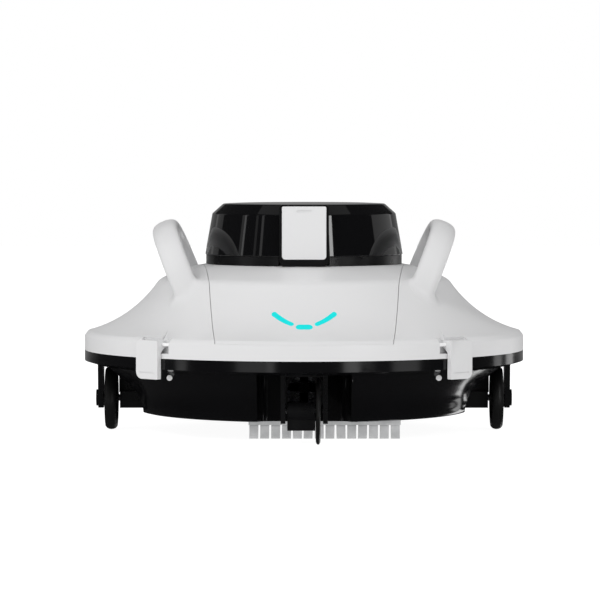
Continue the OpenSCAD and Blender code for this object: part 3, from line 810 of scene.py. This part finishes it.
def seat():
    """The black ring that the lid closes on, with the outer knuckles of the hinge."""
    low = MOUTH_Z
    line = [(MOUTH_R, low), (SEAT_R, low - 1.4), (SEAT_R, SEAT_Z), (MOUTH_R, SEAT_Z)]
    ring = revolved("seat_skin", line, TRIM_BLACK, steps=240)
    knuckles = []
    for side in (-1, 1):
        front, back, top = HINGE_Y - KNUCKLE_R, HINGE_Y + KNUCKLE_R, HINGE_Z + KNUCKLE_R
        outline = filleted([(83, low), (back, low), (back, top), (front, top), (front, SEAT_Z), (83, SEAT_Z)],
                           [0, 0.5, 3.9, 3.9, 0, 0], 8)
        ends = sorted((side * 14, side * 24))
        knuckles.append(prism("knuckle", outline, ends[0], ends[1], TRIM_BLACK, "x"))
    combined(ring, knuckles, "UNION")
    half = FRAME_HALF + FRAME_GAP
    outline = rectangle(-half, -110, half, FRAME_BACK + FRAME_GAP)
    gate = prism("gate", outline, low - 3, SEAT_Z + 3, TRIM_BLACK)
    combined(ring, [gate, rod("bore", 2, -30, 30, (HINGE_Y, HINGE_Z), TRIM_BLACK)])
    softened(ring, 0.35, 2)
    placed(ring, "housing", "lid_seat")


# ---------------------------------------------------------------- clips

def clips():
    """Four latches that swing on pins in the shell's pockets."""
    front, back = -BODY_R - 4.8, -BODY_R - 0.4
    root_low, line_low, line_half = 79, 61.2, CLIP_HALF - 4
    for name in CLIP_ANGLES:
        outline = rectangle(-CLIP_HALF, CLIP_LOW, CLIP_HALF, CLIP_TOP, [6.5, 1.2, 2.2, 2.2], 8)
        plate = prism(name + "_clip_skin", outline, front, back, SHELL_WHITE, "y")
        outline = filleted([(front + 1, root_low), (back, root_low), (CLIP_PIVOT[0], CLIP_PIVOT[1] - CLIP_R),
                            (CLIP_PIVOT[0], CLIP_TOP), (front, CLIP_TOP)], [0, 2, 0, 0, 2])
        root = prism("root", outline, -CLIP_HALF, CLIP_HALF, SHELL_WHITE, "x")
        barrel = rod("barrel", CLIP_R, -CLIP_HALF, CLIP_HALF, CLIP_PIVOT, SHELL_WHITE)
        combined(plate, [root, barrel], "UNION")
        outline = rectangle(-line_half, line_low, line_half, line_low + 1, 0.4, 3)
        groove = prism("groove", outline, front - 1, front + 0.5, SHELL_WHITE, "y")
        combined(plate, [rod("bore", CLIP_BORE_R, -20, 20, CLIP_PIVOT, SHELL_WHITE), groove])
        at_clip(plate, name)
        softened(plate, 0.6)
        placed(plate, "clip_" + name, name + "_clip")


# ---------------------------------------------------------------- hull and flange

# The bowl's outer line, from its floor up to the flange
HULL_LINE = [(147, FLOOR_Z), (151, 19), (154, 24.5), (156, 32.4), (161.5, 40.5), (174, 52), (185, FLANGE_Z)]
# The notches for the forks, the wells for the side wheels, and the holes. S is a distance forwards or back
NOTCH_S = 131
NOTCH_HALF = 41
NOTCH_Z = 63.2
NOTCH_ROUNDING = 10
WELL_X = 145
WELL_HALF = 50
NECK_R = 176
PLATE_R = 108
BUSH_R = 7
FORK_S = 166
JET_S, JET_Z, JET_R = 133, 43, 16.5


def wells(by):
    """The room that the side wheels and the forks need in the hull."""
    cutters = []
    for side in (-1, 1):
        ends = sorted((side * (WELL_X - by), side * (BODY_R + 5)))
        outline = rectangle(ends[0], -WELL_HALF - by, ends[1], WELL_HALF + by)
        cutters.append(prism("well", outline, 0, FLANGE_Z + (0.5 if by else 0), HULL_BLACK))
        ends = sorted((side * (NOTCH_S - by), side * (BODY_R + 5)))
        corner = NOTCH_ROUNDING + by
        corners = [0, 0, corner, corner] if side < 0 else [corner, corner, 0, 0]
        outline = rectangle(-NOTCH_HALF - by, ends[0], NOTCH_HALF + by, ends[1], corners)
        cutters.append(prism("notch", outline, 0, NOTCH_Z + by, HULL_BLACK))
    return cutters


def hull():
    """The black bowl, with its wells, and the flange round its rim."""
    outer = [(PLATE_R, FLOOR_Z)] + smooth_line(HULL_LINE)
    outer += [(NECK_R, FLANGE_Z), (NECK_R, SEAM_Z), (0, SEAM_Z), (0, FLOOR_Z)]
    bowl = revolved("hull_skin", outer, HULL_BLACK)
    core_line = [(0, FLOOR_Z + WALL), (143, FLOOR_Z + WALL)]
    core_line += [(r - WALL, z) for r, z in smooth_line(HULL_LINE, 3) if FLOOR_Z + WALL < z < 52]
    core_line += [(171, 52.5), (NECK_R - WALL, 58), (NECK_R - WALL, SEAM_Z + 2), (0, SEAM_Z + 2)]
    core = combined(revolved("core", core_line, HULL_BLACK, steps=160), wells(WALL))
    holes = [rod("plate_hole", PLATE_R, FLOOR_Z - 2, FLOOR_Z + WALL + 0.1, (0, 0), HULL_BLACK, "z", 72)]
    for side in (-1, 1):
        at, jet = (0, side * FORK_S), side * JET_S
        holes.append(rod("bush_hole", BUSH_R, NOTCH_Z - 2, NOTCH_Z + 6, at, HULL_BLACK, "z", 72))
        holes.append(rod("jet_hole", JET_R, jet - 6, jet + 6, (0, JET_Z), HULL_BLACK, "y"))
    combined(bowl, [core] + wells(0) + holes)
    softened(bowl, 0.6)
    placed(bowl, "hull", "hull_shell")

    rim = [(NECK_R, FLANGE_Z), (189, FLANGE_Z), (BODY_R, 64.5), (BODY_R, SEAM_Z), (NECK_R, SEAM_Z)]
    ring = revolved("flange_skin", rim, HULL_BLACK, steps=256)
    recesses = []
    for side in (-1, 1):
        recesses.append(rod("recess", 26, FLANGE_Z - 3, NOTCH_Z, (0, side * FORK_S), HULL_BLACK, "z", 72))
    combined(ring, recesses)
    softened(ring, 0.3, 2)
    placed(ring, "hull", "flange_ring")


# ---------------------------------------------------------------- wheels

SPOKES = 5
SPOKE_HALF = 2.6
SIDE_WHEEL_X = 176
FORK_WHEEL_X = 12


def wheel(name, centre_x, centre_y, half, hub_r, hub, bore):
    """A spoked wheel with a rounded tread. hub holds the two ends of its hub, from the wheel's middle."""
    rim_in, top = WHEEL_R - 5.5, WHEEL_R
    flank = [(rim_in, 0.7), (rim_in + 1.2, 0.95), (top - 2.6, 1), (top - 1, 0.72), (top - 0.2, 0.35)]
    tread = [(r, centre_x - half * part) for r, part in flank] + [(top, centre_x)]
    tread += [(r, centre_x + half * part) for r, part in reversed(flank)]
    at = (centre_y, WHEEL_R)
    rim = revolved(name + "_wheel_skin", tread, WHEEL_BLACK, "x", at, 120)
    parts = [rod("hub", hub_r, centre_x + hub[0], centre_x + hub[1], at, WHEEL_BLACK),
             rod("boss", hub_r + 3, centre_x - half * 0.55, centre_x + half * 0.55, at, WHEEL_BLACK)]
    end, tip = rim_in + 1.5, SPOKE_HALF * 0.8
    spoke = ((2, -SPOKE_HALF), (end, -tip), (end, tip), (2, SPOKE_HALF))
    low, high = centre_x - half * 0.45, centre_x + half * 0.45
    for k in range(SPOKES):
        angle = 2 * math.pi * (k + 0.5) / SPOKES + 0.3
        c, s = math.cos(angle), math.sin(angle)
        outline = [(at[0] + c * r - s * t, at[1] + s * r + c * t) for r, t in spoke]
        parts.append(prism("spoke", outline, low, high, WHEEL_BLACK, "x"))
    combined(rim, parts, "UNION")
    combined(rim, [rod("bore", bore, centre_x - 20, centre_x + 20, at, WHEEL_BLACK)])
    softened(rim, 0.35, 2)
    placed(rim, "wheel_" + name, name + "_wheel")


def wheels():
    """The two side wheels, and the two thin wheels in the forks."""
    for side, name in ((-1, "left"), (1, "right")):
        wheel(name, side * SIDE_WHEEL_X, 0, 5.25, 5.5, (-6.5, 6.5), 3.05)
    for side, name, hub in ((1, "front", (-2.1, 3.9)), (-1, "rear", (-3.9, 2.1))):
        wheel(name, side * FORK_WHEEL_X, -side * FORK_S, 2, 4.6, hub, 2.05)


# ---------------------------------------------------------------- brushes

# The front strip: its distance from the middle, its two ends and its heights
BRUSH_S = 118
BRUSH_X = (-49, 85)
BRUSH_FOOT_Z, BRUSH_ROOT_Z, BRUSH_TOP_Z = 13.2, 21.5, 22.7
FINS = 14
FIN_TOP_Z = 13.6
FIN_LENGTH = 12.4
FIN_RINGS = 7


def fin(x0, x1, lean, skew):
    """One tapered fin between two ends, whose tip leans forwards or back and skews along the strip."""
    rings = []
    for j in range(FIN_RINGS):
        t = j / (FIN_RINGS - 1)
        thick = 1.2 - 0.45 * t
        middle, inset = -BRUSH_S + lean * t * t, 0.1 * t
        corner = min(0.5, thick * 0.8)
        outline = rectangle(x0 + inset, middle - thick, x1 - inset, middle + thick, corner, 3)
        rings.append([(x + skew * t * t, y, FIN_TOP_Z - t * FIN_LENGTH) for x, y in outline])
    return swept("fin", rings, FIN_RUBBER)


def brush(name, turn):
    """A strip of soft fins, each a little tapered and bent its own way."""
    strip = rectangle(-BRUSH_S - 1.25, BRUSH_FOOT_Z, -BRUSH_S + 1.25, BRUSH_ROOT_Z, 0.3, 3)
    root = rectangle(-BRUSH_S - 3.5, BRUSH_ROOT_Z, -BRUSH_S + 3.5, BRUSH_TOP_Z, 0.4, 3)
    parts = [prism("strip", strip, BRUSH_X[0], BRUSH_X[1], FIN_RUBBER, "x"),
             prism("root", root, BRUSH_X[0], BRUSH_X[1], FIN_RUBBER, "x")]
    pitch, gap = (BRUSH_X[1] - BRUSH_X[0]) / FINS, 0.75
    for k in range(FINS):
        x0, x1 = BRUSH_X[0] + k * pitch + gap, BRUSH_X[0] + (k + 1) * pitch - gap
        lean = random.uniform(-0.35, 0.35)
        skew = random.uniform(-0.25, 0.25)
        parts.append(fin(x0, x1, lean, skew))
    whole = spun(joined(name + "_skin", parts), turn)
    placed(whole, "hull", name)


# ---------------------------------------------------------------- CAD nodes that stay

def finish_cad():
    """Every CAD node that still shows gets its material, eased edges and even shading."""
    for name, thing in frame["nodes"].items():
        thing.data.materials.clear()
        thing.data.materials.append(SLOT_LOOKS[NODE_SLOT[name]])
        weld = thing.modifiers.new("weld", "WELD")
        weld.merge_threshold = 1e-6
        softened(thing, 0.3, 2, 40)
        thing.data.shade_smooth()


# ---------------------------------------------------------------- camera, light and floor

# The camera stands far away with a long lens, and looks down by a few degrees
CAMERA_AT = (-3.65, -3100, 253)
CAMERA_DOWN = 2.49
LENS = 203.7


def camera():
    """The camera at the photograph's viewing angle."""
    data = bpy.data.cameras.new("camera")
    data.lens = LENS
    data.sensor_width = 36
    data.clip_start = 0.1
    data.clip_end = 50
    thing = bpy.data.objects.new("camera", data)
    thing.location = [v * MM for v in CAMERA_AT]
    thing.rotation_euler = (math.radians(90 - CAMERA_DOWN), 0, 0)
    bpy.context.scene.collection.objects.link(thing)
    bpy.context.scene.camera = thing


def area_light(name, at, size, power, target=(0, 0, 0.1)):
    """A soft lamp that lights surfaces without showing in their gloss. at, size and target are in metres."""
    data = bpy.data.lights.new(name, "AREA")
    data.shape = "RECTANGLE"
    data.size, data.size_y = size
    data.energy = power
    thing = bpy.data.objects.new(name, data)
    thing.location = at
    thing.rotation_euler = (Vector(target) - Vector(at)).to_track_quat("-Z", "Y").to_euler()
    thing.visible_glossy = False
    bpy.context.scene.collection.objects.link(thing)
    return thing


# The point that the cards face and their distance from it, in metres
CARD_FROM = (0, 0, 0.15)
CARD_FAR = 5.0


def card(name, azimuth, elevation, width, height, radiance):
    """A lit card that shows only in gloss. Its angles are degrees from the front, rightwards and upwards."""
    turn, rise = math.radians(azimuth), math.radians(elevation)
    way = Vector((math.sin(turn) * math.cos(rise), -math.cos(turn) * math.cos(rise), math.sin(rise)))
    size = [2 * CARD_FAR * math.tan(math.radians(v) / 2) for v in (width, height)]
    power = radiance * math.pi * size[0] * size[1]
    thing = area_light(name, Vector(CARD_FROM) + way * CARD_FAR, size, power, CARD_FROM)
    thing.visible_glossy = True
    thing.visible_diffuse = False
    thing.visible_camera = False


def lights():
    """Three soft lamps, and the cards that show in the gloss."""
    area_light("key", (-1.5, -1.9, 2.1), (1.0, 1.0), 24)
    area_light("fill", (0.9, -2.2, 1.6), (1.4, 1.4), 6)
    area_light("back", (0.3, 2.2, 1.6), (2.0, 1.2), 8)
    # On the dome: a bright bar, weaker bars at its left side, and broad glows round the sides and the back
    card("dome_bar", 32.4, 15, 4.5, 34, 8)
    card("dome_left_a", -78, 12, 2.5, 34, 1.2)
    card("dome_left_b", -81, 12, 5, 34, 0.4)
    card("dome_left_c", -52.7, 15, 3, 30, 0.7)
    card("dome_left_d", -60.8, 15, 3, 30, 0.3)
    card("dome_right", 117, 15, 45, 20, 0.5)
    card("dome_back_left", -130, 15, 20, 20, 0.25)
    card("dome_back", 180, 5, 90, 20, 0.2)
    card("overhead", 0, 80, 60, 60, 0.2)
    # On the flange and the hull
    card("rim_a", 24, -5, 8, 14, 2)
    card("rim_b", 53, -5, 15, 14, 1)
    card("rim_c", 119, -5, 8, 14, 1.2)
    card("rim_d", -65, -5, 6, 14, 1.1)
    card("rim_e", -27, -5, 15, 14, 0.75)
    card("rim_f", -17, -5, 4, 14, 1.3)
    card("hull_a", 146, -22, 8, 18, 2.6)
    card("hull_b", 154, -20, 5, 24, 2.4)
    card("hull_c", 134, -12, 10, 24, 1.7)
    card("hull_d", 122, -12, 6, 14, 1.1)


WORLD_SOFT, WORLD_GLOSS, WORLD_SEEN = 0.72, 0.03, 1.0


def world():
    """Pale surroundings: white to the eye, dimmer as light on surfaces, and nearly dark in gloss."""
    made = bpy.data.worlds.new("world")
    made.use_nodes = True
    nodes, links = made.node_tree.nodes, made.node_tree.links
    nodes.clear()
    path = nodes.new("ShaderNodeLightPath")
    shades = []
    for strength in (WORLD_SOFT, WORLD_GLOSS, WORLD_SEEN):
        shade = nodes.new("ShaderNodeBackground")
        shade.inputs["Color"].default_value = (1, 1, 1, 1)
        shade.inputs["Strength"].default_value = strength
        shades.append(shade.outputs["Background"])
    result = shades[0]
    for kind, shade in (("Is Glossy Ray", shades[1]), ("Is Camera Ray", shades[2])):
        mix = nodes.new("ShaderNodeMixShader")
        links.new(path.outputs[kind], mix.inputs["Fac"])
        links.new(result, mix.inputs[1])
        links.new(shade, mix.inputs[2])
        result = mix.outputs["Shader"]
    links.new(result, nodes.new("ShaderNodeOutputWorld").inputs["Surface"])
    bpy.context.scene.world = made


FLOOR_HALF = 6000
FLOOR_GLOW, FLOOR_SEEN = 0.68, 0.95


def floor():
    """A plain pale floor that glows, so that it shows almost no shadow."""
    half = FLOOR_HALF
    verts = [(-half, -half, 0), (half, -half, 0), (half, half, 0), (-half, half, 0)]
    look = plastic("floor_paint", (0.3, 0.3, 0.3), 0.7, 300, 0.00002, vary=0.004, specular=0.0)
    shader = look.node_tree.nodes["Principled BSDF"]
    shader.inputs["Emission Color"].default_value = (1, 1, 1, 1)
    nodes, links = look.node_tree.nodes, look.node_tree.links
    seen = nodes.new("ShaderNodeMapRange")
    seen.inputs["To Min"].default_value = FLOOR_GLOW
    seen.inputs["To Max"].default_value = FLOOR_SEEN
    links.new(nodes.new("ShaderNodeLightPath").outputs["Is Camera Ray"], seen.inputs["Value"])
    links.new(seen.outputs["Result"], shader.inputs["Emission Strength"])
    thing = mesh_object("floor", verts, [(0, 1, 2, 3)], look)
    thing.visible_glossy = False
    thing.visible_shadow = False


# ---------------------------------------------------------------- the scene

camera()
housing()
status_light()
handles()
dome()
latch()
seat()
clips()
hull()
wheels()
brush("front_brush", 0)
brush("rear_brush", 180)
finish_cad()
world()
lights()
floor()

bpy.context.scene.view_settings.view_transform = "Standard"
